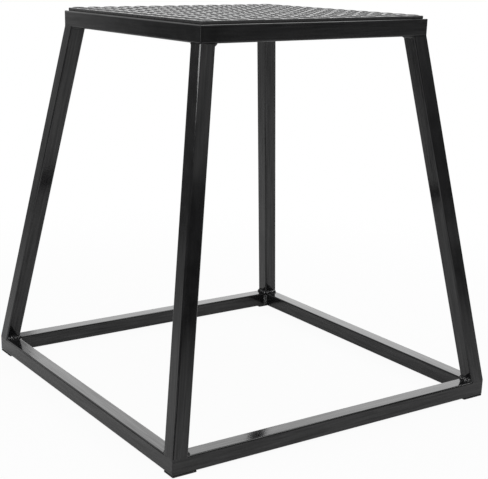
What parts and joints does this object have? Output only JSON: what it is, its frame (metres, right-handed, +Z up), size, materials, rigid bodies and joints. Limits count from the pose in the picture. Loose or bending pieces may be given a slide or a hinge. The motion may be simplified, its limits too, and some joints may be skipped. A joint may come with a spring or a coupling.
{
  "type": "plyo box",
  "caption": "Open steel plyo box: square tube frame with legs that splay from a small top ring to a wide base ring, under a diamond-tread rubber mat to jump on.",
  "frame": {"origin": "on the floor under the middle of the box", "axes": "+Z up, the front rail faces -Y and the left rail faces -X"},
  "size_m": [0.6026, 0.6026, 0.6096],
  "materials": {
    "frame_paint": "semi-gloss black powder coat",
    "mat_rubber": "satin moulded rubber",
    "pad_rubber": "matte rubber"
  },
  "bodies": {
    "root": {"base_rail_front": "frame_paint", "base_rail_right": "frame_paint", "base_rail_back": "frame_paint", "base_rail_left": "frame_paint", "top_rail_front": "frame_paint", "top_rail_right": "frame_paint", "top_rail_back": "frame_paint", "top_rail_left": "frame_paint", "leg_front_left": "frame_paint", "leg_front_right": "frame_paint", "leg_back_right": "frame_paint", "leg_back_left": "frame_paint", "leg_foot_welds": "frame_paint", "leg_head_welds": "frame_paint", "base_corner_welds": "frame_paint", "top_corner_welds": "frame_paint", "deck_stitch_welds": "frame_paint", "deck_plate": "frame_paint", "tread_mat": "mat_rubber", "foot_pad_front_left": "pad_rubber", "foot_pad_front_right": "pad_rubber", "foot_pad_back_right": "pad_rubber", "foot_pad_back_left": "pad_rubber"}
  },
  "joints": []
}
